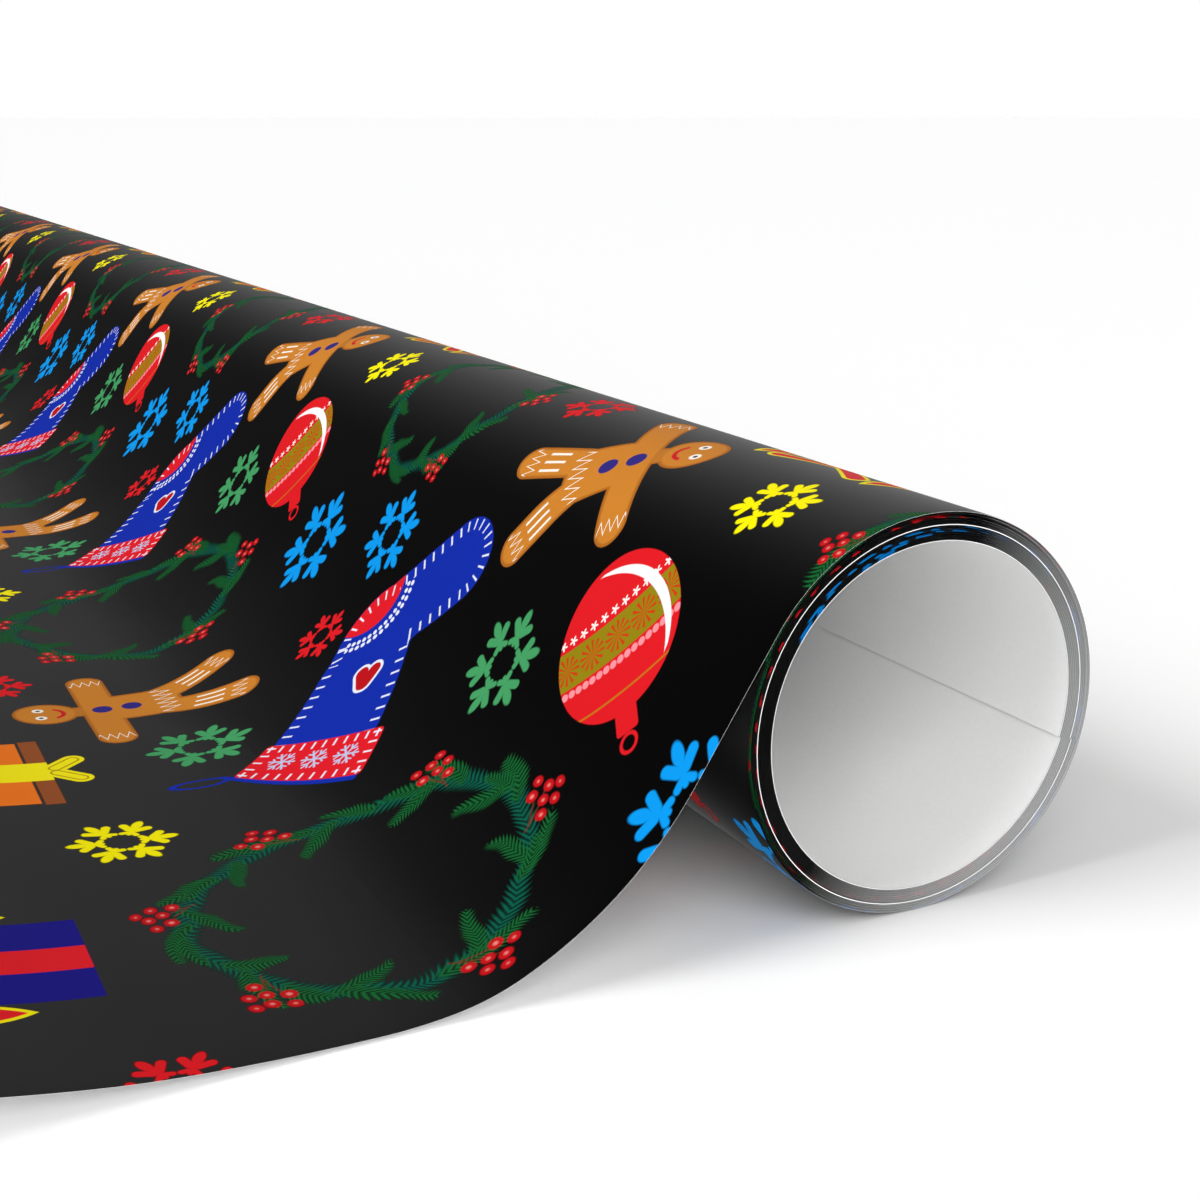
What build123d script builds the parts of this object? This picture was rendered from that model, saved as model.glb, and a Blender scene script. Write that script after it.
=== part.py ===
from build123d import *
from math import ceil, cos, pi, radians, sin
import os

# A coreless roll of gift wrapping paper with its leading sheet pulled loose.
#
# The whole object is one long web of paper.  Seen from the near end (+X) the web starts at a
# free edge inside the bore, winds outwards with its angle growing from +Y over the top (+Z)
# towards -Y, and leaves the roll as a loose sheet that falls to the floor and curls up again.
# The origin is on the roll's axis at the middle of its width.  All sizes are in millimetres.

# ---- driving dimensions ------------------------------------------------------------------

web_width = 762.0          # width of the paper, which is the length of the roll
paper_thickness = 0.10     # one layer of printed paper
bore_radius = 20.0         # inside of the innermost turn
full_turns = 12            # complete turns between the bore and the floor
layer_gap = 0.15           # air between neighbouring turns
spin_gap = 0.40            # looser air gap inside the outermost full turn
seam_angle = -15.8         # where the inner free edge lies, and where every turn starts
seam_slit = 0.40           # slit along the roll where one turn ends and the next one starts

departure_angle = 147.5    # where the leading sheet leaves the roll
bend_radius = 47.6         # the sheet's long bend below its straight fall
bend_end_heading = -19.9   # downward slope at the end of that bend, in degrees
foot_radius = 30.0         # the tighter bend that lands on the floor
rise_radius = 192.7        # the shallow rise beyond the floor line
rise_end_heading = 11.0
end_curl_radius = 118.0    # the stronger curl of the free end
end_curl_heading = 24.0

longest_arc = 2.5          # each bend of the sheet is drawn as tangent arcs up to this long
hinge_slit = 0.15          # slit between two strips of the sheet that flex on each other
fall_share = 0.55          # where the bend flexes, as a share of the long bend
tail_share = 0.22          # where the tail starts to lift, as a share of the shallow rise

# ---- worked-out sizes --------------------------------------------------------------------

layer_pitch = paper_thickness + layer_gap


def turn_inner_radius(number):
    """Inner radius of a full turn, counted from 1 at the bore."""
    radius = bore_radius + (number - 1) * layer_pitch
    if number == full_turns:
        radius += spin_gap - layer_gap
    return radius


outer_turn_radius = turn_inner_radius(full_turns) + paper_thickness
floor_height = -outer_turn_radius
lead_radius = outer_turn_radius + layer_gap + paper_thickness / 2

# The sheet's middle line, as runs of (length, curvature).  Its straight fall is as long as it
# has to be for the foot to land on the floor that the roll lies on.
fall_slope = departure_angle - 90      # degrees below level, tangent to the roll


def arc_run(radius, heading_from, heading_to):
    """A run that turns at one radius from one heading to another, both in degrees."""
    return (radius * radians(heading_to - heading_from), 1 / radius)


def arc_drop(radius, heading_from, heading_to):
    """How far such a run falls."""
    return radius * (cos(radians(heading_to)) - cos(radians(heading_from)))


bends_drop = (arc_drop(bend_radius, -fall_slope, bend_end_heading)
              + arc_drop(foot_radius, bend_end_heading, 0))
departure_y = lead_radius * cos(radians(departure_angle))
departure_z = lead_radius * sin(radians(departure_angle))
fall_drop = departure_z - floor_height - paper_thickness / 2 - bends_drop
fall_run = (fall_drop / sin(radians(fall_slope)), 0.0)
bend_run = arc_run(bend_radius, -fall_slope, bend_end_heading)
foot_run = arc_run(foot_radius, bend_end_heading, 0)
rise_run = arc_run(rise_radius, 0, rise_end_heading)
end_run = arc_run(end_curl_radius, rise_end_heading, end_curl_heading)
sheet_runs = [fall_run, bend_run, foot_run, rise_run, end_run]
sheet_length = sum(length for length, _ in sheet_runs)

# Places along the sheet, measured from where it leaves the roll.
bend_hinge = fall_run[0] + fall_share * bend_run[0]
tail_hinge = fall_run[0] + bend_run[0] + foot_run[0] + tail_share * rise_run[0]
curl_hinge = sheet_length - end_run[0]


# ---- geometry helpers --------------------------------------------------------------------

def sheet_point(run_place, side=0.0):
    """A point of the sheet at a place along it, and a distance above its middle line."""
    outwards, height, heading = -departure_y, departure_z, -radians(fall_slope)
    for length, curvature in sheet_runs:
        step = min(run_place, length)
        turned = heading + curvature * step
        if curvature:
            outwards += (sin(turned) - sin(heading)) / curvature
            height -= (cos(turned) - cos(heading)) / curvature
        else:
            outwards += step * cos(heading)
            height += step * sin(heading)
        heading = turned
        run_place -= step
        if run_place <= 0:
            break
    return (-(outwards - side * sin(heading)), height + side * cos(heading))


def sheet_side(start, end, side):
    """One face line of the sheet between two places along it, as lines and arcs."""
    edges = []
    run_start = 0.0
    for length, curvature in sheet_runs:
        first = max(start, run_start)
        last = min(end, run_start + length)
        run_start += length
        if last - first < 1e-6:
            continue
        count = ceil((last - first) / longest_arc) if curvature else 1
        step = (last - first) / count
        for number in range(count):
            begin = first + number * step
            ends = sheet_point(begin, side), sheet_point(begin + step, side)
            if curvature:
                middle = sheet_point(begin + step / 2, side)
                edges.append(ThreePointArc(ends[0], middle, ends[1]))
            else:
                edges.append(Line(*ends))
    return edges


def along_roll(section):
    """A section in the end plane made into paper of the full web width."""
    face = Plane.YZ.offset(-web_width / 2) * section
    return extrude(face, amount=web_width, clean=False)


def wound_paper(inner_radius, start_angle, end_angle):
    """Paper wound about the axis from one angle to another, in degrees."""
    outer_radius = inner_radius + paper_thickness
    size = end_angle - start_angle
    inner = CenterArc((0, 0), inner_radius, start_angle, size)
    outer = CenterArc((0, 0), outer_radius, start_angle, size)
    caps = [Line(inner @ 0, outer @ 0), Line(inner @ 1, outer @ 1)]
    return along_roll(make_face([inner, outer, *caps]))


def sheet_strip(start, end):
    """The part of the loose sheet between two places along it."""
    lower = sheet_side(start, end, -paper_thickness / 2)
    upper = sheet_side(start, end, paper_thickness / 2)
    caps = [Line(sheet_point(place, -paper_thickness / 2), sheet_point(place, paper_thickness / 2))
            for place in (start, end)]
    return along_roll(make_face([*lower, *upper, *caps]))


# ---- pieces ------------------------------------------------------------------------------

def coil_turn(number):
    """One full turn of the coil, open by a hairline slit at the seam."""
    inner_radius = turn_inner_radius(number)
    half_slit = seam_slit / 2 / inner_radius * 180 / pi
    return wound_paper(inner_radius, seam_angle + half_slit, seam_angle + 360 - half_slit)


def leading_wrap():
    """The last part turn, over the top of the coil, up to where the sheet leaves it."""
    inner_radius = lead_radius - paper_thickness / 2
    half_slit = seam_slit / 2 / inner_radius * 180 / pi
    hinge_angle = hinge_slit / 2 / inner_radius * 180 / pi
    return wound_paper(inner_radius, seam_angle + half_slit, departure_angle - hinge_angle)


pieces = {f"turn_{number:02d}": coil_turn(number) for number in range(1, full_turns + 1)}
pieces["leading_wrap"] = leading_wrap()

strip_ends = {
    "sheet_fall": (0.0, bend_hinge),
    "sheet_foot": (bend_hinge, tail_hinge),
    "sheet_tail": (tail_hinge, curl_hinge),
}
for name, (start, end) in strip_ends.items():
    pieces[name] = sheet_strip(start + hinge_slit / 2, end - hinge_slit / 2)
pieces["sheet_end"] = sheet_strip(curl_hinge + hinge_slit / 2, sheet_length)

os.makedirs("parts", exist_ok=True)
for name, piece in pieces.items():
    export_step(piece, f"parts/{name}.step")

print(f"outer radius {outer_turn_radius:.2f} mm, loose sheet {sheet_length:.1f} mm")
for name, place in (("swing", 0.0), ("bend", bend_hinge), ("tail", tail_hinge), ("curl", curl_hinge)):
    y, z = sheet_point(place)
    print(f"{name} hinge line at y {y:.3f}, z {z:.3f}")
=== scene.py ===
# %% [markdown]
# # A roll of gift wrapping paper
# The real object is a single web of coated paper: printed on one face, plain white on the other,
# wound into a hollow coil with no core, and with its leading end pulled loose over the floor.
# The imported model holds every turn and every strip of that web at its real size.  Here each of
# them gets the finished paper that is seen, and each turn is kept on its own body of the frame.

# %% Load the frame
from math import atan2, ceil, cos, degrees, hypot, pi, radians, sin

import bpy
import numpy as np
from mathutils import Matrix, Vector, noise


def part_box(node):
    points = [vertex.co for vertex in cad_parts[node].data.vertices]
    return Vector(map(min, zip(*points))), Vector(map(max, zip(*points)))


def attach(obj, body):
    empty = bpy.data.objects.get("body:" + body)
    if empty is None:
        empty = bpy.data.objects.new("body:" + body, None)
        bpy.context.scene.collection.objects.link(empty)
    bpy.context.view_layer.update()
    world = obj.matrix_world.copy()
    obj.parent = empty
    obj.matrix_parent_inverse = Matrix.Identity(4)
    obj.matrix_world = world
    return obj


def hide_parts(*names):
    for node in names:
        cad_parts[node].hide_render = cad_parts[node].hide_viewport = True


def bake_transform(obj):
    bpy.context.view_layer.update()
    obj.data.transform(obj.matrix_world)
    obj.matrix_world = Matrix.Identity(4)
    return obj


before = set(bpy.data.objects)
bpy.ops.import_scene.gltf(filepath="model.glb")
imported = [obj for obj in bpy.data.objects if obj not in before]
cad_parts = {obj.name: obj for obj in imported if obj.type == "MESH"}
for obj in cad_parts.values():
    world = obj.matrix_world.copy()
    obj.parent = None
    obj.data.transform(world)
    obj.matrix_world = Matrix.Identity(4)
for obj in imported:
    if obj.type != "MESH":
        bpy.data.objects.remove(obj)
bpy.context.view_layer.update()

MM = 0.001

# %% [markdown]
# ## Sizes
# Every place comes from the frame where it can: the width of the web, the radius of each turn and
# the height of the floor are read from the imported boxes.  Only the thickness of the paper, the
# number of turns and the sweep of the loose sheet are repeated here, as the same few values and
# arcs that the construction uses.

# %% Sizes of the web
near_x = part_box("turn_01")[1].x
far_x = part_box("turn_01")[0].x
web_width = near_x - far_x
floor_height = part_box("turn_12")[0].z
paper = 0.10 * MM
turn_count = 12
turn_outer = [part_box(f"turn_{n:02d}")[1].z for n in range(1, turn_count + 1)]
layer_pitch = turn_outer[1] - turn_outer[0]
lead_radius = turn_outer[-1] + layer_pitch - paper / 2

seam_angle = -15.8          # degrees from +Y, over the top: every turn starts here
departure_angle = 147.5     # where the loose sheet leaves the coil
fall_slope = departure_angle - 90
bend_share = 0.55           # how far along the long bend the sheet flexes
rise_share = 0.22           # how far along the shallow rise the tail flexes
sheet_arcs = [              # radius in metres and heading at the end, in degrees
    (47.6 * MM, -19.9),     # the long bend
    (30.0 * MM, 0.0),       # the foot that lands on the floor
    (192.7 * MM, 11.0),     # the shallow rise
    (118.0 * MM, 24.0),     # the curled free end
]

departure = Vector((0, lead_radius * cos(radians(departure_angle)),
                    lead_radius * sin(radians(departure_angle))))
drop = sum(radius * (cos(radians(end)) - cos(radians(start)))
           for (radius, end), start in zip(sheet_arcs[:2], (-fall_slope, sheet_arcs[0][1])))
fall_length = (departure.z - floor_height - paper / 2 - drop) / sin(radians(fall_slope))
sheet_runs = [(fall_length, 0.0)]
heading = -fall_slope
for radius, end in sheet_arcs:
    sheet_runs.append((radius * radians(end - heading), 1 / radius))
    heading = end
sheet_length = sum(length for length, _ in sheet_runs)
bend_hinge = sheet_runs[0][0] + bend_share * sheet_runs[1][0]
tail_hinge = sum(length for length, _ in sheet_runs[:3]) + rise_share * sheet_runs[3][0]
curl_hinge = sheet_length - sheet_runs[4][0]
print(f"web {web_width:.3f} m wide, loose sheet {sheet_length * 1000:.1f} mm long")

# %% [markdown]
# ## The line of the web
# Paper does not stretch, so the whole object is one line in the end plane, swept along the roll.
# `loose_rail` gives that line for the loose sheet and `wound_rail` for a turn.  Both return a
# point and the direction in which the printed face looks.

# %% Rails that the paper follows
def loose_rail(place):
    """Point and outward direction of the loose sheet, at a distance from where it leaves."""
    outwards, height, angle = -departure.y, departure.z, -radians(fall_slope)
    for length, curvature in sheet_runs:
        step = min(place, length)
        turned = angle + curvature * step
        if curvature:
            outwards += (sin(turned) - sin(angle)) / curvature
            height -= (cos(turned) - cos(angle)) / curvature
        else:
            outwards += step * cos(angle)
            height += step * sin(angle)
        angle = turned
        place -= step
        if place <= 0:
            break
    return (-outwards, height), (sin(angle), cos(angle))


def ease(share):
    """A share from 0 to 1 that starts and ends gently."""
    share = min(max(share, 0.0), 1.0)
    return share * share * (3 - 2 * share)


spin_gap_climb = 1.2        # the coil spins in a wider gap, so the turn under it climbs further
late_climb = 0.20           # the share of the outermost turn over which it climbs


def turn_radius(number, share):
    """Middle radius of a turn after a share of it, so that each turn runs into the next."""
    radius = turn_outer[number - 1] - paper / 2
    if number < turn_count - 1:
        return radius + layer_pitch * share
    if number == turn_count - 1:
        return radius + spin_gap_climb * layer_pitch * share
    return radius + layer_pitch * ease((share - (1 - late_climb)) / late_climb)


print("the sheet's lowest point is on the floor:",
      abs(min(loose_rail(k * MM)[0][1] for k in range(120)) - paper / 2 - floor_height) < 1e-4)

# %% [markdown]
# ## How long the web is at each place
# The print runs on without a break from the bore to the free end.  So every point needs its
# distance along the web, counted from the place where the loose sheet leaves the coil.  The turns
# are walked from the outside in, adding up their own length as they go.

# %% Distance along the web
lead_length = lead_radius * radians(departure_angle - seam_angle)
turn_end_place = {turn_count: -lead_length}
for number in range(turn_count, 0, -1):
    middle = turn_radius(number, 0.5)
    turn_end_place[number - 1] = turn_end_place[number] - 2 * pi * middle
web_length = sheet_length - turn_end_place[0]
print(f"the web is {web_length:.3f} m long")


def wound_rail(number):
    """The rail of a full turn, as a function of the distance along the web."""
    start, end = turn_end_place[number - 1], turn_end_place[number]

    def rail(place):
        share = (place - start) / (end - start)
        angle = radians(seam_angle) + 2 * pi * share
        radius = turn_radius(number, share)
        return (radius * cos(angle), radius * sin(angle)), (cos(angle), sin(angle))
    return rail


def leading_rail(place):
    """The part turn over the top, which runs straight on into the loose sheet."""
    if place >= 0:
        return loose_rail(place)
    angle = radians(departure_angle) + place / lead_radius
    return (lead_radius * cos(angle), lead_radius * sin(angle)), (cos(angle), sin(angle))

# %% [markdown]
# ## Where the print lies on the web
# The pattern is told in places on the print.  Over the top, the front and the loose sheet it keeps
# step with the paper.  Behind the roll it is drawn out a little, so that inside the coil it has
# moved on, and a crystal shows low on the roll, beside the sheet.

# %% Places on the print
top_place = -lead_radius * radians(departure_angle - 60)     # where a repeat begins, on the top
stretch_length = 70.0 * MM
stretch_shift = 9.5 * MM


def print_place(place):
    """The place on the print, along the web, at a distance from where the sheet leaves."""
    behind = min(max((top_place - place) / stretch_length, 0.0), 1.0)
    return place - top_place + stretch_shift * behind


print("a repeat begins", round(-top_place / MM, 1), "mm before the sheet leaves the coil")

# %% [markdown]
# ## Sheets as thin solids
# A plane with a Solidify modifier would do, but the printed face, the white back and the cut edge
# need their own finishes and their own places in a baked picture.  So one function lays both
# faces as grids, closes them along the four cuts, and writes two maps: `Paper`, in metres on the
# web, which the print is drawn on, and `OFBake`, which packs the faces into one square.

# %% One function for every piece of paper
PRINT_SHARE = (0.004, 0.820)      # of the height of the baked picture
BACK_SHARE = (0.830, 0.950)
EDGE_BANDS = ((0.960, 0.968), (0.970, 0.978), (0.980, 0.988), (0.990, 0.998))
SIDE_MARGIN = 0.002               # of its width, on either side
BLOCK_MARGIN = 0.005              # of a block's height, below and above it
SHARP_ANGLE = 50.0                # degrees between faces from which an edge is a cut
knife_reach = 0.7 * MM            # how far in from a cut the knife has pressed the paper thin
sheet_edge = 0.02 * MM            # and how thin, on the loose sheet
turn_edge = 0.012 * MM            # and on the turns


def paper_piece(name, rail, start, end, rows, columns, materials, relief=None, blocks=3,
                edge=sheet_edge):
    """A strip of the web between two distances along it, as a closed thin solid.

    The printed face is cut into blocks that lie side by side on the roll.  The baked picture
    stacks them, so that the print gets about as many dots along the roll as round it.
    """
    places = np.linspace(start, end, rows + 1)
    inner = np.linspace(near_x - knife_reach, far_x + knife_reach, columns - 1)
    xs = np.concatenate([[near_x], inner, [far_x]])
    thickness = np.full(columns + 1, paper)
    thickness[[0, -1]] = edge
    points = []
    for side in (0.5, -0.5):
        for place in places:
            (y, z), (ny, nz) = rail(place)
            for x, thick in zip(xs, thickness):
                lift = side * thick + (relief(x, place) if relief else 0.0)
                points.append((x, y + ny * lift, z + nz * lift))
    width = columns + 1
    back = (rows + 1) * width
    faces, slots, paper_map, bake_map = [], [], [], []

    def span(share, low_high):
        return low_high[0] + share * (low_high[1] - low_high[0])

    def add(corners, slot, grid, baked):
        faces.append(corners)
        slots.append(slot)
        paper_map.extend((near_x - xs[column], print_place(places[row])) for row, column in grid)
        bake_map.extend(baked)

    per_block = columns // blocks
    block_width = per_block + columns % blocks
    for row in range(rows):
        for column in range(columns):
            grid = [(row, column), (row, column + 1), (row + 1, column + 1), (row + 1, column)]
            block = min(column // per_block, blocks - 1)
            printed = [((c - block * per_block) / block_width * (1 - 2 * SIDE_MARGIN) + SIDE_MARGIN,
                        span((block + BLOCK_MARGIN + (1 - 2 * BLOCK_MARGIN) * r / rows) / blocks,
                             PRINT_SHARE))
                       for r, c in grid]
            corners = [r * width + c for r, c in grid]
            add(corners, 0, grid, printed)
            plain = [(c / columns, span(r / rows, BACK_SHARE)) for r, c in reversed(grid)]
            add([back + corner for corner in reversed(corners)], 1, grid[::-1], plain)
    for band, row, flip in ((EDGE_BANDS[0], 0, True), (EDGE_BANDS[1], rows, False)):
        for column in range(columns):
            a, b = row * width + column, row * width + column + 1
            corners, shares = [a, b, back + b, back + a], (0, 1, 1, 0)
            baked = [((column + s) / columns, band[h]) for s, h in zip(shares, (0, 0, 1, 1))]
            grid = [(row, column + s) for s in shares]
            if flip:
                corners, baked, grid = corners[::-1], baked[::-1], grid[::-1]
            add(corners[::-1], 3, grid[::-1], baked[::-1])
    for band, column, flip in ((EDGE_BANDS[2], 0, False), (EDGE_BANDS[3], columns, True)):
        for row in range(rows):
            a, b = row * width + column, (row + 1) * width + column
            corners, shares = [a, b, back + b, back + a], (0, 1, 1, 0)
            baked = [((row + s) / rows, band[h]) for s, h in zip(shares, (0, 0, 1, 1))]
            grid = [(row + s, column) for s in shares]
            if flip:
                corners, baked, grid = corners[::-1], baked[::-1], grid[::-1]
            add(corners[::-1], 2, grid[::-1], baked[::-1])

    mesh = bpy.data.meshes.new(name)
    mesh.from_pydata(points, [], faces)
    mesh.polygons.foreach_set("material_index", slots)
    mesh.polygons.foreach_set("use_smooth", [True] * len(faces))
    for title, values in (("Paper", paper_map), ("OFBake", bake_map)):
        layer = mesh.uv_layers.new(name=title)
        layer.data.foreach_set("uv", np.array(values, np.float32).ravel())
    mesh.uv_layers["Paper"].active_render = True
    mesh.uv_layers.active = mesh.uv_layers["Paper"]
    for material in materials:
        mesh.materials.append(material)
    mesh.set_sharp_from_angle(angle=radians(SHARP_ANGLE))
    mesh.update()
    piece = bpy.data.objects.new(name, mesh)
    bpy.context.scene.collection.objects.link(piece)
    return piece


print("share of the baked picture for the print:", round(PRINT_SHARE[1] - PRINT_SHARE[0], 3))

# %% [markdown]
# ## Writing shaders as sums
# A print is arithmetic on a place.  Wired by hand it would be hundreds of boxes, so one small
# class wraps a socket and lets Python write the Math nodes: `a * 2 + b` adds two of them.  All
# other nodes come from `Tree.node`.  Nodes are made in the order in which they are needed, which
# keeps few values alive at once.

# %% Sockets that can be added and multiplied
class Tree:
    """The node tree of one material."""

    def __init__(self, name):
        self.material = bpy.data.materials.new(name)
        self.material.use_nodes = True
        self.nodes = self.material.node_tree.nodes
        self.links = self.material.node_tree.links
        self.nodes.clear()

    def node(self, kind, settings=None, inputs=None, output=0):
        """A node with its settings made first, then the values or links of its sockets."""
        made = self.nodes.new("ShaderNode" + kind)
        for key, value in (settings or {}).items():
            if key == "stops":
                self.fill_ramp(made.color_ramp, value)
            else:
                setattr(made, key, value)
        for key, value in (inputs or {}).items():
            self.feed(made.inputs[key], value)
        return Value(self, made.outputs[output]) if made.outputs else made

    def feed(self, socket, value):
        if isinstance(value, Value):
            self.links.new(value.socket, socket)
        else:
            socket.default_value = value

    @staticmethod
    def fill_ramp(ramp, stops):
        while len(ramp.elements) < len(stops):
            ramp.elements.new(1.0)
        for element, (place, colour) in zip(ramp.elements, stops):
            element.position = place
            element.color = colour

    def vector(self, operation, a, b=(0, 0, 0), c=None, output=0):
        inputs = {0: a, 1: b}
        if c is not None:
            inputs[2] = c
        return self.node("VectorMath", {"operation": operation}, inputs, output)

    def mix(self, mask, below, above):
        """The colour above where the mask is 1, and the colour below where it is 0."""
        return self.node("Mix", {"data_type": "RGBA"}, {0: mask, 6: below, 7: above}, 2)

    def choose(self, mask, first, second):
        """The second vector where the mask is 1, and the first where it is 0."""
        return self.node("Mix", {"data_type": "VECTOR"}, {0: mask, 4: first, 5: second}, 1)


class Value:
    """A socket whose arithmetic adds Math nodes."""

    def __init__(self, tree, socket):
        self.tree = tree
        self.socket = socket

    def math(self, operation, *others, first=None, clamp=False):
        values = [self if first is None else first, *others]
        if first is not None:
            values.insert(1, self)
        settings = {"operation": operation, "use_clamp": clamp}
        return self.tree.node("Math", settings, dict(enumerate(values)))

    def __add__(self, other):
        return self.math("ADD", other)

    def __sub__(self, other):
        return self.math("SUBTRACT", other)

    def __rsub__(self, other):
        return self.math("SUBTRACT", first=other)

    def __mul__(self, other):
        return self.math("MULTIPLY", other)

    def __neg__(self):
        return self.math("MULTIPLY", -1.0)

    def __abs__(self):
        return self.math("ABSOLUTE")

    __radd__ = __add__
    __rmul__ = __mul__

    def least(self, other):
        return self.math("MINIMUM", other)

    def most(self, other):
        return self.math("MAXIMUM", other)

    def scaled(self, factor, offset):
        """factor times this plus offset, in one node."""
        return self.math("MULTIPLY_ADD", factor, offset)

    def below(self, limit):
        return self.math("LESS_THAN", limit)

    def above(self, limit):
        return self.math("GREATER_THAN", limit)

    def to_and_fro(self, length):
        return self.math("PINGPONG", length)

    def around(self, half):
        """This value brought into the range from -half to half, again and again."""
        return self.math("WRAP", half, -half)

    def sine(self):
        return self.math("SINE")

    def inked(self, soft=0.16):
        """1 inside a shape whose edge lies at 0, and 0 outside, over a soft width in mm."""
        return self.math("MULTIPLY_ADD", -1.0 / soft, 0.5, clamp=True)

    def parts(self):
        """The x and y of a vector."""
        made = self.tree.nodes.new("ShaderNodeSeparateXYZ")
        self.tree.links.new(self.socket, made.inputs[0])
        return Value(self.tree, made.outputs[0]), Value(self.tree, made.outputs[1])


def ink(red, green, blue):
    """A printed colour, given as it looks on a screen, as the light that Blender works in."""
    def light(level):
        level /= 255
        return level / 12.92 if level <= 0.04045 else ((level + 0.055) / 1.055) ** 2.4
    return (light(red), light(green), light(blue), 1.0)


print("mid grey, as light:", round(ink(128, 128, 128)[0], 3))

# %% [markdown]
# ## Shapes to print with
# A printed shape is told by its distance: negative inside, positive outside.  Two shapes join by
# the least of their distances, and `inked` turns a distance into a soft-edged mask.
# `local_place` gives the place on the paper as seen from the middle of one motif, in millimetres.

# %% Distances to simple shapes
REPEAT = 127.0     # the print repeats every 127 mm both ways
HALF = REPEAT / 2


def local_place(tree, place, x, y, turn=0.0, size=1.0):
    """The place on the repeating print as seen from one motif's middle."""
    wrapped = tree.vector("WRAP", place, (x + HALF, y + HALF, 1), (x - HALF, y - HALF, -1))
    inputs = {"Vector": wrapped, "Location": (x, y, 0), "Rotation": (0, 0, radians(turn)),
              "Scale": (size, size, 1)}
    return tree.node("Mapping", {"vector_type": "TEXTURE"}, inputs)


def turned(place, x, y, angle):
    """A place seen from a point, along axes that are turned by an angle."""
    inputs = {"Vector": place, "Location": (x, y, 0), "Rotation": (0, 0, radians(angle))}
    return place.tree.node("Mapping", {"vector_type": "TEXTURE"}, inputs)


def disc(place, x, y, radius):
    """Distance to a round spot."""
    return place.tree.vector("DISTANCE", place, (x, y, 0), output=1) - radius


def bar(place, low, high, radius):
    """Distance to a box along the axes from one corner to another, with rounded edges."""
    tree = place.tree
    held = tree.vector("MINIMUM", tree.vector("MAXIMUM", place, (*low, 0)), (*high, 0))
    return tree.vector("DISTANCE", place, held, output=1) - radius


def limb(place, start, end, radius):
    """Distance to a rounded limb from one point to another."""
    length = hypot(end[0] - start[0], end[1] - start[1])
    angle = degrees(atan2(end[1] - start[1], end[0] - start[0]))
    return bar(turned(place, *start, angle), (0, 0), (length, 0), radius)


def zigzag(x, y, pitch, height, line):
    """Distance to a wavy line of icing along x, near y = 0."""
    wave = x.to_and_fro(pitch / 2).scaled(2 * height / (pitch / 2), -height)
    return abs(y - wave) - line


def joined(*shapes):
    """The least of several distances."""
    shape = shapes[0]
    for other in shapes[1:]:
        shape = shape.least(other)
    return shape


print("repeats across the web:", round(web_width / MM / REPEAT, 2))

# %% [markdown]
# ## The motifs
# All of them are plain festive shapes drawn for this roll: biscuits, a bauble, a stocking, fir
# wreaths, parcels and snow crystals.  Motifs that repeat share one drawing: the place is first
# brought to the nearest one, so nine crystals cost little more than one.  Every number in a motif
# is a size in millimetres, or for crystals and wreaths a share of their radius.

# %% [markdown]
# ### Snow crystals
# Crystals in four inks fill the gaps between the larger motifs.  The six arms of a crystal are one
# arm: the angle is folded to and fro, and only a stem, a tip and two leaves are drawn.

# %% Snow crystals
CRYSTAL_TURN = 30.0        # degrees
CRYSTAL_REACH = 1.15       # in radii: a place nearer than this belongs to the crystal
CRYSTALS = [   # colour, distance from the near end, distance along the web, radius in mm
    (ink(255, 242, 5), 18.3, 21.3, 5.8),
    (ink(224, 28, 36), 77.8, 13.5, 5.9),
    (ink(70, 160, 100), 48.8, 54.5, 7.4),
    (ink(10, 155, 240), 99.7, 48.0, 7.4),
    (ink(10, 155, 240), 125.7, 55.7, 9.1),
    (ink(224, 28, 36), 99.7, 67.0, 5.0),
    (ink(70, 160, 100), 87.4, 91.9, 7.4),
    (ink(255, 242, 5), 57.6, 108.9, 6.5),
    (ink(224, 28, 36), 125.5, 115.4, 6.0),
]


def print_crystals(tree, place, below):
    nearest, colour = None, CRYSTALS[0][0]
    for crystal_ink, x, y, radius in CRYSTALS:
        own = local_place(tree, place, x, y, CRYSTAL_TURN, radius)
        if nearest is None:
            nearest = own
            continue
        inside = tree.vector("LENGTH", own, output=1).below(CRYSTAL_REACH)
        nearest = tree.choose(inside, nearest, own)
        colour = tree.mix(inside, colour, crystal_ink)
    x, y = nearest.parts()
    reach = tree.vector("LENGTH", nearest, output=1)
    folded = y.math("ARCTAN2", x).to_and_fro(pi / 6)
    across = folded.sine() * reach
    along = folded.math("COSINE") * reach
    arm = tree.node("CombineXYZ", {}, {0: along, 1: across})
    stem = bar(arm, (0.38, -1), (0.86, 0.0), 0.055)
    tip = disc(tree.vector("MULTIPLY", arm, (0.52, 1, 1)), 0.44, 0.0, 0.105)
    leaf = limb(arm, (0.60, 0.07), (0.75, 0.24), 0.088)
    low_leaf = limb(arm, (0.46, 0.04), (0.38, 0.14), 0.062)
    shape = joined(stem, tip, leaf, low_leaf)
    return tree.mix(shape.inked(0.03), below, colour)


print("crystals in a repeat:", len(CRYSTALS))

# %% [markdown]
# ### Biscuits
# Two biscuit figures, one upright and one turned.  Their halves mirror each other, so the distance
# from the middle line stands in for x, and one arm and one leg are drawn.  The icing is a zigzag
# over the waist, the wrists and the ankles.

# %% Biscuits with icing
BISCUITS = [(110.1, 98.3, 0.0), (52.5, 24.3, 127.7)]     # place and turn of each
BISCUIT_REACH = 24.0       # mm from its middle
HIP, ANKLE = (2.9, -6.5), (7.4, -17.2)
WRIST = 13.0               # from the middle line


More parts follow.
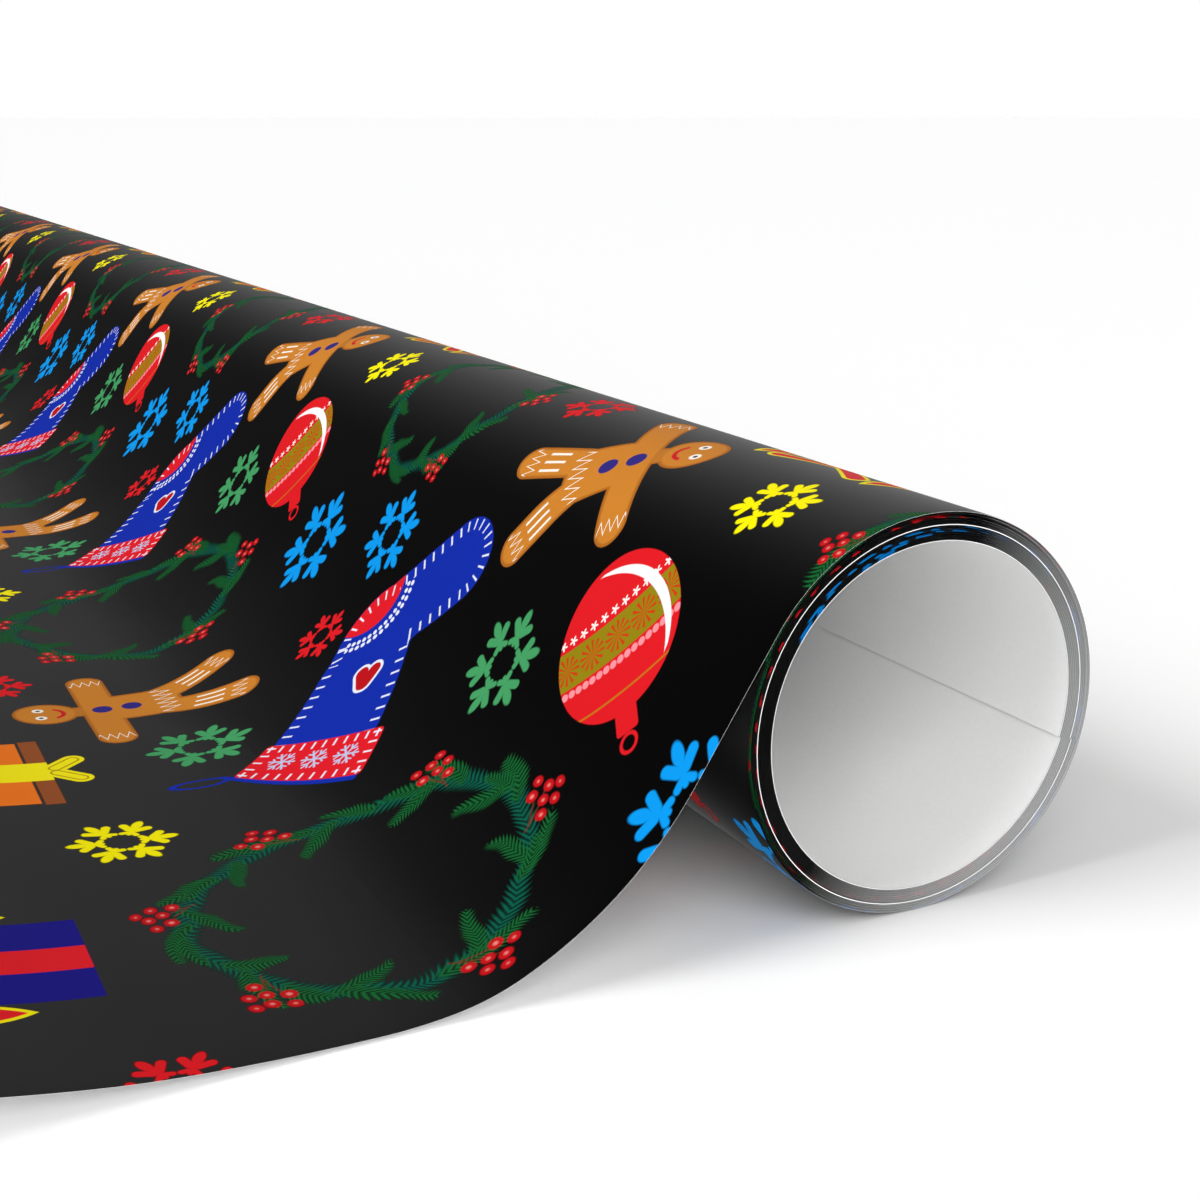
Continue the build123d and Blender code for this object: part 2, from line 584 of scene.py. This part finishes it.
def print_biscuits(tree, place, below):
    dough, iced = ink(210, 134, 48), ink(255, 250, 238)
    first, second = (local_place(tree, place, *biscuit) for biscuit in BISCUITS)
    is_second = tree.vector("LENGTH", second, output=1).below(BISCUIT_REACH)
    own = tree.choose(is_second, first, second)
    x, y = own.parts()
    mirrored = abs(x)
    half = tree.node("CombineXYZ", {}, {0: mirrored, 1: y})
    head = disc(half, 0, 11.3, 4.8)
    neck = bar(half, (-1, 4.0), (1.8, 8.0), 0.5)
    trunk = bar(half, (-1, -6.5), (3.0, 3.4), 2.6)
    arm = bar(half, (0, 3.3), (13.4, 3.3), 2.85)
    leg = limb(half, HIP, ANKLE, 3.0)
    body = joined(head, neck, trunk, arm, leg)
    speckle = tree.node("TexNoise", {}, {"Vector": place, "Scale": 3.0, "Detail": 1.0})
    crumb = tree.mix(speckle, dough, ink(202, 126, 42))
    rim = body.scaled(1.0, 0.5).inked(0.4)
    crumb = tree.mix(1.0 - rim, crumb, ink(176, 104, 34))
    colour = tree.mix(body.inked(), below, crumb)
    belt = zigzag(x, y + 6.6, 1.9, 1.4, 0.24).most(mirrored - 5.2)
    cuff = zigzag(y, mirrored - WRIST, 1.4, 1.1, 0.20).most(abs(y - 3.3) - 2.5)
    shin = turned(half, *ANKLE, degrees(atan2(ANKLE[1] - HIP[1], ANKLE[0] - HIP[0])))
    along, across = shin.parts()
    socks = zigzag(across, along + 0.4, 1.5, 1.2, 0.20).most(abs(across) - 2.5)
    stripes = (abs(across.around(0.8)) - 0.22).most(abs(across) - 2.0).most(abs(along + 5.2) - 2.3)
    icing = joined(belt, cuff, socks, stripes)
    colour = tree.mix(icing.inked(), colour, iced)
    button = joined(disc(own, 0, -1.4, 1.5), disc(own, 0, 3.0, 1.5))
    colour = tree.mix(button.inked(), colour, ink(52, 42, 128))
    eye = disc(half, 1.75, 12.2, 0.85)
    colour = tree.mix(eye.inked(), colour, iced)
    colour = tree.mix((eye + 0.5).inked(), colour, ink(40, 26, 18))
    smile = (abs(disc(own, 0, 10.9, 2.2)) - 0.34).most(y - 10.0)
    return tree.mix(smile.inked(), colour, ink(205, 30, 36))


print("biscuits in a repeat:", len(BISCUITS))

# %% [markdown]
# ### Bauble
# A red ball that hangs from a ring, with a gold band round its middle.  The rows of pattern on it
# are bent by a parabola, which is enough to make a flat disc look round.

# %% A bauble on its ring
BAUBLE = (27.6, 44.0, 53.0)      # place and turn
BAUBLE_RADIUS = 11.4
BEND = 0.008                     # how much a row bends, for each square mm from the middle


def print_bauble(tree, place, below):
    red, gold = ink(226, 28, 36), ink(150, 132, 18)
    own = local_place(tree, place, *BAUBLE)
    squeezed = tree.vector("MULTIPLY", own, (1.06, 0.98, 1))
    ball = disc(squeezed, 0, 0, BAUBLE_RADIUS)
    cap = bar(own, (-1.3, 11.6), (1.3, 14.2), 0.5)
    ring = abs(disc(own, 0, 16.2, 1.25)) - 0.25
    colour = tree.mix(joined(ball, cap, ring).inked(), below, red)
    x, y = own.parts()
    bent = y + x * x * BEND
    band = (abs(bent) - 2.9).most(ball)
    colour = tree.mix(band.inked(), colour, gold)
    cell_x = x.around(2.3)
    spoke = (cell_x.math("ARCTAN2", bent) * 12.0).sine()
    petal = tree.node("CombineXYZ", {}, {0: cell_x, 1: bent})
    burst = disc(petal, 0, 0, 2.2).most(spoke * -0.5 + 0.12).most(band)
    colour = tree.mix(burst.inked(), colour, ink(205, 62, 20))
    pearls = tree.node("CombineXYZ", {}, {0: x.around(0.62), 1: bent - 3.8})
    colour = tree.mix(disc(pearls, 0, 0, 0.56).most(ball).inked(), colour, ink(255, 150, 160))
    stars = tree.node("CombineXYZ", {}, {0: x.around(0.95), 1: bent + 4.1})
    star_x, star_y = stars.parts()
    rays = (star_x.math("ARCTAN2", star_y) * 5.0).math("COSINE")
    star = (tree.vector("LENGTH", stars, output=1) - rays * 0.26 - 0.48).most(ball)
    colour = tree.mix(star.inked(), colour, ink(255, 244, 240))
    shine = disc(own, 3.3, 1.4, 12.3).most(-disc(own, 6.7, 3.0, 14.5)).most(ball + 0.8)
    colour = tree.mix(shine.inked(), colour, ink(255, 255, 255))
    line = (abs(bent - 8.6) - 0.14).most(ball)
    return tree.mix(line.inked(), colour, ink(190, 120, 20))


print("the bauble is", 2 * BAUBLE_RADIUS, "mm across")

# %% [markdown]
# ### Stocking
# A felt stocking with white stitches that follow its outline.  A thin band lies at one distance
# inside the edge, and is cut into ticks by the place along it.  That place is told in another way
# on the leg, round the heel, along the foot and round the toe.

# %% A stitched stocking
STOCKING = (68.3, 80.7, -139.4)                              # place and turn
STOCKING_LOOP = (73.2, 95.4)
HEEL, INSTEP, TOE = (0.2, 25.2), (3.0, 27.4), (18.8, 29.7)   # middles of the round parts
HEEL_RADIUS, TOE_RADIUS = 9.0, 7.0
PATCH = (-4.6, 35.8)                                         # middle of the red heel patch


def print_stocking(tree, place, below):
    blue, red, white = ink(18, 45, 170), ink(226, 28, 40), ink(235, 240, 255)
    own = local_place(tree, place, *STOCKING)
    x, y = own.parts()
    leg = limb(own, (-0.4, 6.0), (-0.4, 19.0), 9.1)
    foot = disc(own, *HEEL, HEEL_RADIUS).least(limb(own, INSTEP, TOE, TOE_RADIUS))
    shape = leg.math("SMOOTH_MIN", foot, 2.5)
    colour = tree.mix(shape.inked(), below, blue)
    from_patch = disc(own, *PATCH, 8.6)
    patch = from_patch.most(shape)
    colour = tree.mix(patch.inked(), colour, red)
    bead_turn = (y - PATCH[1]).math("ARCTAN2", x - PATCH[0])
    bead_x = bead_turn.around(0.055) * 10.9
    bead_y = abs(from_patch - 2.2) - 0.55
    bead = tree.node("CombineXYZ", {}, {0: bead_x, 1: bead_y})
    beads = disc(bead, 0, 0, 0.42).most(shape + 1.9)
    colour = tree.mix(beads.inked(), colour, white)
    band = abs(shape + 1.15) - 0.85
    up_leg = abs(y.around(1.1))
    along_foot = abs(turned(own, *INSTEP, 8.3).parts()[0].around(1.1))
    round_toe = abs((y - TOE[1]).math("ARCTAN2", x - TOE[0]).around(0.15) * TOE_RADIUS)
    round_heel = abs((y - HEEL[1]).math("ARCTAN2", x - HEEL[0]).around(0.12) * HEEL_RADIUS)
    ticks = tree.node("Mix", {}, {0: y.above(22.0), 2: up_leg, 3: round_heel})
    on_foot = x.above(INSTEP[0]) * y.above(20.0)
    ticks = tree.node("Mix", {}, {0: on_foot, 2: ticks, 3: along_foot})
    ticks = tree.node("Mix", {}, {0: x.above(TOE[0]), 2: ticks, 3: round_toe}) - 0.19
    colour = tree.mix(band.most(ticks).inked(), colour, white)
    mirrored = tree.node("CombineXYZ", {}, {0: abs(x - 1.1), 1: y})
    heart = limb(mirrored, (0.1, 15.4), (1.25, 17.9), 1.2)
    colour = tree.mix((heart - 0.5).inked(), colour, white)
    colour = tree.mix(heart.inked(), colour, ink(190, 18, 26))
    lining = bar(own, (-10.0, -5.2), (9.6, -4.6), 0.4)
    colour = tree.mix(lining.inked(), colour, blue)
    cuff = bar(own, (-9.6, -3.8), (9.6, 3.8), 0.8)
    colour = tree.mix(cuff.inked(), colour, red)
    tick_x = abs(x.around(0.95)) - 0.17
    hem = tick_x.most(abs(abs(y) - 3.6) - 0.75)
    side = (abs(y.around(0.95)) - 0.17).most(abs(abs(x) - 9.4) - 0.75)
    colour = tree.mix(hem.least(side).most(cuff + 0.3).inked(), colour, white)
    cell = tree.node("CombineXYZ", {}, {0: x.around(2.75), 1: y - 0.3})
    cell_x, cell_y = cell.parts()
    span = tree.vector("LENGTH", cell, output=1)
    fold = cell_y.math("ARCTAN2", cell_x).to_and_fro(pi / 6)
    flake = tree.node("CombineXYZ", {}, {0: fold.math("COSINE") * span, 1: fold.sine() * span})
    small = bar(flake, (0, -1), (2.1, 0), 0.16).least(limb(flake, (1.1, 0), (1.7, 0.65), 0.14))
    small = small.most(abs(x) - 8.0)
    colour = tree.mix(small.inked(), colour, ink(190, 205, 240))
    loop_place = tree.vector("MULTIPLY", local_place(tree, place, *STOCKING_LOOP), (3.0, 1, 1))
    loop = abs(disc(loop_place, 0, 0, 3.8)) - 0.6
    return tree.mix(loop.inked(), colour, blue)


print("the stocking's foot is", round(TOE[0] - HEEL[0] + HEEL_RADIUS + TOE_RADIUS, 1), "mm long")

# %% [markdown]
# ### Wreaths
# Each wreath is a ring of fir twigs with one bunch of berries.  A drawn needle would cost several
# nodes, so the needles are a sine wave that leans away from the middle of the twig, which both
# frays its outline and shades it.  The ring sways a little, as bent twigs do.

# %% Fir wreaths with berries
WREATHS = [(28.7, 86.9, 0.0, 20.6), (109.9, 20.6, -6.0, 17.2)]   # place, turn and radius
BERRIES = [      # along the ring, outwards, radius, as shares of the wreath's radius
    (-0.09, 0.02, 0.040), (0.0, 0.06, 0.038), (0.09, 0.01, 0.042), (0.06, 0.13, 0.038),
    (-0.05, 0.13, 0.036), (0.15, 0.09, 0.036), (0.02, 0.20, 0.034),
]
SPRIGS = [       # how many round the ring, shift in radians, tip of each, and half its width
    (9, 0.0, (0.27, -0.25), 0.066),
    (10, 0.3, (0.32, 0.16), 0.066),
    (8, 0.62, (0.24, 0.05), 0.058),
]
NEEDLES = (190.0, 170.0)         # how fast their sine runs along a twig, and out from its middle
CORE_NEEDLES = (150.0, 120.0)    # the same round the ring
WREATH_REACH = 1.5               # in radii
SWAY = 0.22                      # how far the ring wanders to and fro


def fir_sprig(bunch, tip, width):
    """A feathery twig of fir: its distance, and the light and dark of its needles."""
    length = hypot(*tip)
    own = turned(bunch, 0, 0, degrees(atan2(tip[1], tip[0])))
    along, across = own.parts()
    needle = (along.scaled(NEEDLES[0], 0.0) - abs(across) * NEEDLES[1]).sine()
    body = bar(own, (0, 0), (length, 0), width) + abs(along - length * 0.45) * 0.16
    return body - needle * 0.016, needle


def print_wreaths(tree, place, below):
    first, second = (local_place(tree, place, *wreath) for wreath in WREATHS)
    near_second = tree.vector("LENGTH", second, output=1).below(WREATH_REACH)
    chosen = tree.choose(near_second, first, second)
    sway = tree.node("TexNoise", {}, {"Vector": chosen, "Scale": 2.4, "Detail": 1.0}, 1)
    centred = tree.vector("ADD", chosen, (-SWAY / 2, -SWAY / 2, 0))
    own = tree.vector("MULTIPLY_ADD", sway, (SWAY, SWAY, 0), centred)
    x, y = own.parts()
    angle = y.math("ARCTAN2", x)
    out = tree.vector("LENGTH", own, output=1) - 1.0
    grain = (angle * CORE_NEEDLES[0] - abs(out) * CORE_NEEDLES[1]).sine()
    core = abs(out) - 0.062 - grain * 0.016
    teal = tree.mix(grain.scaled(0.5, 0.5), ink(5, 44, 40), ink(14, 96, 74))
    colour = tree.mix(core.inked(0.05), below, teal)
    for sprigs, shift, tip, width in SPRIGS:
        along_ring = angle.scaled(1.0, shift).around(pi / sprigs) + 0.12
        bunch = tree.node("CombineXYZ", {}, {0: along_ring, 1: out})
        shape, needle = fir_sprig(bunch, tip, width)
        green = tree.mix(needle.scaled(0.5, 0.5), ink(7, 48, 26), ink(26, 104, 50))
        colour = tree.mix(shape.inked(0.03), colour, green)
    ring_x, ring_y = chosen.parts()
    cluster = ring_y.math("ARCTAN2", ring_x).scaled(1.0, -0.244).around(pi / 6)
    from_ring = tree.vector("LENGTH", chosen, output=1) - 1.06
    bunch = tree.node("CombineXYZ", {}, {0: cluster, 1: from_ring})
    twig = joined(limb(bunch, (-0.14, -0.10), (0.06, 0.10), 0.004),
                  limb(bunch, (-0.10, -0.07), (0.12, 0.04), 0.004))
    colour = tree.mix(twig.inked(0.012), colour, ink(120, 44, 30))
    berries = joined(*(disc(bunch, *spot) for spot in BERRIES))
    colour = tree.mix(berries.inked(0.012), colour, ink(198, 20, 28))
    return tree.mix((berries + 0.030).inked(0.02), colour, ink(246, 150, 140))


print("wreaths in a repeat:", len(WREATHS), "berries on each:", len(BERRIES))

# %% [markdown]
# ### Parcels
# An orange parcel with a lid and a navy one, both tied with a ribbon and a bow.  A parcel is a few
# boxes, and its bow is mirrored in the same way as a biscuit.

# %% Parcels with ribbon
ORANGE_PARCEL, NAVY_PARCEL = (85.4, 120.0), (27.4, 125.0)
CORNER = 0.15              # how round the corners of boxes and ribbons are


def print_parcels(tree, place, below):
    brown, orange, yellow = ink(150, 80, 40), ink(240, 120, 30), ink(250, 236, 20)
    own = local_place(tree, place, *ORANGE_PARCEL)
    box = bar(own, (-12.0, -3.9), (12.0, 9.5), CORNER)
    colour = tree.mix(box.inked(), below, orange)
    lid = bar(own, (-12.5, -6.9), (12.5, -4.6), CORNER)
    colour = tree.mix(lid.inked(), colour, brown)
    x, y = own.parts()
    flipped = tree.node("CombineXYZ", {}, {0: abs(x), 1: y})
    band = bar(own, (-3.4, -6.9), (3.4, 9.5), CORNER)
    loop = limb(flipped, (0.9, -7.8), (3.7, -10.6), 1.6)
    colour = tree.mix(joined(band, loop).inked(), colour, yellow)
    fold = (abs(loop + 0.8) - 0.14).most(loop)
    colour = tree.mix(fold.inked(), colour, ink(180, 150, 10))
    own = local_place(tree, place, *NAVY_PARCEL)
    navy = bar(own, (-9.3, -6.4), (9.3, 5.9), CORNER)
    colour = tree.mix(navy.inked(), colour, ink(26, 22, 130))
    x, y = own.parts()
    flipped = tree.node("CombineXYZ", {}, {0: abs(x), 1: y})
    loop = limb(flipped, (1.0, 7.4), (8.2, 11.4), 1.7)
    tail = disc(flipped, 2.5, 6.9, 11.1).most(disc(flipped, 20.5, 6.9, 11.1))
    wing = loop.least(tail)
    colour = tree.mix(wing.inked(), colour, yellow)
    red_parts = joined(bar(own, (-2.6, -6.4), (2.6, 5.9), CORNER), wing + 0.55)
    return tree.mix(red_parts.inked(), colour, ink(226, 30, 40))


print("the orange parcel lies at", ORANGE_PARCEL, "and the navy one at", NAVY_PARCEL)

# %% [markdown]
# ## The finish of the printed face
# Gift wrap is coated paper: the black ground lies under a thin satin film, so it is deep where
# the face looks at the dark side of the room and turns grey where it looks at the light.  The
# coloured inks stand matt on it and keep their colour everywhere.  A Principled shader does both:
# its coat is the film, and its weight falls to nothing as the ink under it gets lighter.
# Handling has left shallow creases, which are only a bump, and the roughness of the paper under
# the film wanders a little.

# %% Printed face
def crease_height(tree, place, scale):
    """Long soft creases from handling."""
    stretched = tree.vector("MULTIPLY", place, (1.0, 0.45, 1))
    return tree.node("TexNoise", {"noise_type": "RIDGED_MULTIFRACTAL"},
                     {"Vector": stretched, "Scale": scale, "Detail": 2.0, "Distortion": 0.6})


IN_MM = (1 / MM, 1 / MM, 0)     # from metres on the web to the print's millimetres
GROUND = ink(4, 4, 5)
INK_DEPTH = 0.16                # how much of the light the inks hold back
FILM = 0.90                     # how fully the satin film covers a perfect black
FILM_FADE = -45.0               # how fast it goes as the ink gets lighter
FILM_ROUGHNESS = 0.43
FILM_IOR = 1.47


def printed_face():
    tree = Tree("printed_paper")
    web = tree.node("UVMap", {"uv_map": "Paper"})
    place = tree.vector("MULTIPLY", web, IN_MM)
    colour = print_wreaths(tree, place, GROUND)
    colour = print_parcels(tree, place, colour)
    colour = print_biscuits(tree, place, colour)
    colour = print_bauble(tree, place, colour)
    colour = print_stocking(tree, place, colour)
    colour = print_crystals(tree, place, colour)
    colour = tree.mix(INK_DEPTH, colour, (0, 0, 0, 1))
    folds = crease_height(tree, place, 0.011)
    bump = tree.node("Bump", {}, {"Strength": 0.55, "Distance": 0.0010, "Height": folds})
    cloud = tree.node("TexNoise", {}, {"Vector": place, "Scale": 0.02, "Detail": 2.0})
    lightness = tree.node("RGBToBW", {}, {0: colour})
    film = lightness.math("MULTIPLY_ADD", FILM_FADE, FILM, clamp=True)
    shader = tree.node("BsdfPrincipled", {}, {
        "Base Color": colour, "Roughness": cloud.scaled(0.14, 0.40), "Normal": bump,
        "Specular IOR Level": 0.04, "IOR": FILM_IOR, "Coat Weight": film,
        "Coat Roughness": FILM_ROUGHNESS, "Coat IOR": FILM_IOR})
    tree.node("OutputMaterial", {}, {"Surface": shader})
    return tree.material


printed = printed_face()
print("print nodes:", len(printed.node_tree.nodes))

# %% [markdown]
# ## The back and the cut edge
# The back is uncoated and matt, with short fibres that only show close to.  The knife presses the
# paper thin as it cuts, so most edges hardly show: the end of the roll looks black where it turns
# its printed faces to the eye, and pale where it turns its backs.  Only the innermost turn and one
# in the middle of the wall keep a thick edge, and stand out as white lines.  A fine grey line is
# painted on the back right at each cut: it is painted shade, standing in for the shade in the slit
# between one turn and the next, and it is what lets the turns be counted.

# %% White back and edges
# Width of the painted shade line along each cut.
GAP_SHADE_WIDTH = 0.11      # mm from the cut


def plain_paper(name, light, dark, roughness, gap_shade=None):
    """Uncoated paper between two tones, with a grey line of painted shade along both cuts if a
    colour is given for it.
    """
    tree = Tree(name)
    web = tree.node("UVMap", {"uv_map": "Paper"})
    place = tree.vector("MULTIPLY", web, IN_MM)
    fibre = tree.node("TexNoise", {}, {"Vector": place, "Scale": 1.6, "Detail": 3.0})
    colour = tree.mix(fibre, light, dark)
    # Painted shade: a grey line along both cuts stands in for the shade in the slit between turns.
    if gap_shade:
        from_near = place.parts()[0]
        from_cut = from_near.least(web_width / MM - from_near)
        colour = tree.mix((from_cut - GAP_SHADE_WIDTH).inked(0.05), colour, gap_shade)
    folds = crease_height(tree, place, 0.013)
    bump = tree.node("Bump", {}, {"Strength": 0.25, "Distance": 0.0005, "Height": folds})
    shader = tree.node("BsdfPrincipled", {}, {
        "Base Color": colour, "Roughness": fibre.scaled(0.1, roughness),
        "Normal": bump, "Specular IOR Level": 0.25})
    tree.node("OutputMaterial", {}, {"Surface": shader})
    return tree.material


# The last grey given to the back is painted shade along its cuts.
white_back = plain_paper("white_back", ink(244, 244, 243), ink(236, 236, 236), 0.74,
                         gap_shade=ink(205, 205, 208))
clean_edge = plain_paper("clean_edge", ink(250, 250, 250), ink(240, 240, 240), 0.80)
inked_edge = plain_paper("inked_edge", ink(44, 44, 46), ink(30, 30, 32), 0.70)
print("papers:", [made.name for made in (printed, white_back, clean_edge, inked_edge)])

# %% [markdown]
# ## Relief of the loose sheet
# Paper that has been rolled never lies quite flat.  A slow noise lifts the loose sheet by a
# few tenths of a millimetre.  It starts from nothing where the sheet leaves the coil, and only
# lifts where the sheet lies on the floor.

# %% Relief
WAVE, DENT, UNEVENNESS = 0.45, 0.22, 0.03     # heights in mm: wide waves, small dents, the turn
frees_over = 0.030                            # metres of sheet over which the relief grows
lands_at, lands_over = 0.045, 0.012           # where it starts to lie on the floor, and how soon
rises_at, rises_over = 0.075, 0.020           # where it starts to rise again


def sheet_relief(x, place):
    """How far the loose sheet stands off its rail, never down where it lies on the floor."""
    loose = ease(place / frees_over)
    wave = noise.noise(Vector((x * 9.0, place * 16.0, 3.7)))
    dent = noise.noise(Vector((x * 26.0 + place * 14.0, place * 30.0, 9.1)))
    height = (wave * WAVE + dent * DENT) * MM * loose
    landed = ease((place - lands_at) / lands_over)
    on_floor = landed * (1 - ease((place - rises_at) / rises_over))
    return height * (1 - on_floor) + abs(height) * on_floor


def turn_relief(x, place):
    """The outermost turn is a little uneven too, but stays inside its gap."""
    return noise.noise(Vector((x * 7.0, place * 20.0, 1.3))) * UNEVENNESS * MM


print("relief at the middle of the free end:", round(sheet_relief(0, sheet_length) / MM, 3), "mm")

# %% [markdown]
# ## The coil
# The turns between the first and the last show only their ends, so they need fine steps round
# the axis but few along it.  Each rides on its own body, because the turns of a coreless roll
# slide through each other.

# %% Wound turns
EDGE_THICKNESS = {1: 0.07 * MM, 8: 0.10 * MM}     # turns whose edge the knife left thick
seam_gap = 0.02 * MM                              # half the slit between a turn and the next
turn_rows = 120                                   # steps round the axis
TURN_COLUMNS = {1: 60, turn_count: 240}           # steps along it, for the two turns in view
hidden_columns = 12                               # and for the others
turns = []
for number in range(1, turn_count + 1):
    name = f"turn_{number:02d}"
    edge = clean_edge if number in EDGE_THICKNESS else inked_edge
    relief = turn_relief if number == turn_count else None
    piece = paper_piece(f"{name}_paper", wound_rail(number),
                        turn_end_place[number - 1] + seam_gap, turn_end_place[number] - seam_gap,
                        turn_rows, TURN_COLUMNS.get(number, hidden_columns),
                        [printed, white_back, edge, inked_edge], relief, blocks=2,
                        edge=EDGE_THICKNESS.get(number, turn_edge))
    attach(piece, "outer_turn" if number == turn_count else name)
    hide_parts(name)
    turns.append(piece)
print("turns:", len(turns), "faces:", sum(len(piece.data.polygons) for piece in turns))

# %% [markdown]
# ## The leading sheet
# The loose sheet is laid as four pieces that replace the imported strips.  The table gives each
# piece two bodies and the places where its bend starts and ends, but here the pieces are only laid
# in place: they are not attached to those bodies and not bent.  In the table the bend of the tail
# only starts at its own line, because paper before it would be turned down into the floor.

# %% Loose sheet in four pieces
fall_middle = bend_hinge / 2
foot_middle = (bend_hinge + tail_hinge) / 2
tail_middle = (tail_hinge + curl_hinge) / 2
margin = 2.0 * MM           # left straight next to a middle
curl_reach = 13 * MM        # how far past its line the curl of the free end spreads
row_step = 1.1 * MM         # how fine the grid is along the sheet
sheet_columns = 252         # and across it
SHEET_PIECES = [   # name, from, to, replaced nodes, the two bodies, where the bend starts and ends
    ("wrap_and_fall", -lead_length + seam_gap, fall_middle, ("leading_wrap",),
     ("outer_turn", "sheet_fall"), 0.0, fall_middle - margin),
    ("fall_and_foot", fall_middle, foot_middle, ("sheet_fall",),
     ("sheet_fall", "sheet_foot"), fall_middle + margin, foot_middle - margin),
    ("foot_and_tail", foot_middle, tail_middle, ("sheet_foot",),
     ("sheet_foot", "sheet_tail"), tail_hinge, tail_middle - margin),
    ("tail_and_end", tail_middle, sheet_length, ("sheet_tail", "sheet_end"),
     ("sheet_tail", "sheet_end"), tail_middle + margin, curl_hinge + curl_reach),
]
for name, start, end, nodes, bodies, bend_start, bend_end in SHEET_PIECES:
    rows = ceil((end - start) / row_step)
    piece = paper_piece(name, leading_rail, start, end, rows, sheet_columns,
                        [printed, white_back, clean_edge, inked_edge], sheet_relief)
    bend_from, bend_to = ((0, *leading_rail(place)[0]) for place in (bend_start, bend_end))
    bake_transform(piece)
    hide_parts(*nodes)
    end - start
    print(name, "rows", rows, "flat length", round((end - start) * 1000, 1), "mm")

# %% [markdown]
# ## Floor, light and camera
# A pale floor runs back without a corner into a pale room.  A broad lamp stands over the
# sheet's side, so that the roll's shadow falls behind it, and a wider one looks into the bore.
# What the satin film mirrors is set apart from what lights it: the mirrored room has no floor and
# no lamps, and is bright behind the roll and dark in front.  That greys the top of the black paper
# and the part that lies on the floor, and leaves its face deep.

# %% Floor and room
AMBIENT = (0.18, 0.74)             # from the far end's side and from the near end's side
BEHIND = (-0.36, 0.93, 0.0)        # the side on which the mirrored room is bright
MIRRORED_EDGE = (-0.02, 1.0)       # where it starts to brighten and where it is brightest
MIRRORED = (0.010, 0.60)           # its light in front and behind
FLOOR_SIZE = 400.0
FLOOR_LIGHTNESS = 0.975
floor_clearance = 0.05 * MM        # keeps the paper off the floor's own face
LAMPS = [                          # name, power, degrees across, direction it shines from
    ("key_light", 1.8, 30.0, (-0.10, -0.76, 0.60)),
    ("mouth_light", 1.68, 60.0, (0.84, -0.32, 0.44)),
]


def floor_material():
    tree = Tree("studio_floor")
    shader = tree.node("BsdfPrincipled", {}, {
        "Base Color": (FLOOR_LIGHTNESS, FLOOR_LIGHTNESS, FLOOR_LIGHTNESS, 1.0),
        "Roughness": 0.9, "Specular IOR Level": 0.1})
    tree.node("OutputMaterial", {}, {"Surface": shader})
    return tree.material


bpy.ops.mesh.primitive_plane_add(size=FLOOR_SIZE,
                                 location=(0, 0, floor_height - floor_clearance))
floor = bpy.context.object
floor.name = "studio_floor"
floor.data.materials.append(floor_material())
floor.visible_glossy = False

world = bpy.data.worlds.new("studio")
bpy.context.scene.world = world
world.use_nodes = True
room = world.node_tree
room.nodes.clear()


def room_node(kind, settings=None, inputs=None, output=0):
    """A node of the room, with its settings first and then its values or links."""
    made = room.nodes.new("ShaderNode" + kind)
    for key, value in (settings or {}).items():
        setattr(made, key, value)
    for key, value in (inputs or {}).items():
        if isinstance(value, bpy.types.NodeSocket):
            room.links.new(value, made.inputs[key])
        else:
            made.inputs[key].default_value = value
    return made.outputs[output] if made.outputs else made


direction = room_node("TexCoord")
behind = room_node("VectorMath", {"operation": "DOT_PRODUCT"},
                   {0: direction, 1: BEHIND}, 1)
slope = room_node("MapRange", {"interpolation_type": "SMOOTHSTEP"},
                  {"Value": behind, "From Min": MIRRORED_EDGE[0], "From Max": MIRRORED_EDGE[1],
                   "To Min": MIRRORED[0], "To Max": MIRRORED[1]})
mirrored = room_node("Background", {}, {"Color": (1, 1, 1, 1), "Strength": slope})
lengthways = room_node("SeparateXYZ", {}, {0: direction}, 0)
brightness = room_node("MapRange", {}, {"Value": lengthways, "From Min": -1.0, "From Max": 1.0,
                                        "To Min": AMBIENT[0], "To Max": AMBIENT[1]})
ambient = room_node("Background", {}, {"Color": (1, 1, 1, 1), "Strength": brightness})
seen = room_node("Background", {}, {"Color": (1, 1, 1, 1), "Strength": 1.0})
is_glossy = room_node("LightPath", {}, {}, 3)
is_camera = room_node("LightPath", {}, {}, 0)
lit = room_node("MixShader", {}, {0: is_glossy, 1: ambient, 2: mirrored})
room_node("OutputWorld", {}, {0: room_node("MixShader", {}, {0: is_camera, 1: lit, 2: seen})})
bpy.context.scene.view_settings.view_transform = "Standard"

for lamp_name, power, spread, shines_from in LAMPS:
    lamp = bpy.data.lights.new(lamp_name, "SUN")
    lamp.energy = power
    lamp.angle = radians(spread)
    holder = bpy.data.objects.new(lamp_name, lamp)
    holder.rotation_euler = Vector(shines_from).to_track_quat("Z", "Y").to_euler()
    holder.visible_glossy = False
    bpy.context.scene.collection.objects.link(holder)
print("lamps:", [lamp[0] for lamp in LAMPS])

# %% Camera
EYE_IN_BORE_RADII = (7.1146, -5.5812, 3.1965)     # from the middle of the near end
DOWNWARD = 15.862                                 # degrees
TURNED = 63.41
bore_radius = turn_outer[0] - paper
eye = Vector((near_x, 0, 0)) + Vector(EYE_IN_BORE_RADII) * bore_radius
camera_data = bpy.data.cameras.new("camera")
camera_data.sensor_width = 36.0
camera_data.lens = 51.0
camera = bpy.data.objects.new("camera", camera_data)
camera.location = eye
camera.rotation_euler = (radians(90 - DOWNWARD), 0, radians(TURNED))
bpy.context.scene.collection.objects.link(camera)
bpy.context.scene.camera = camera
print("camera stands", round(eye.length, 3), "m from the roll's middle")
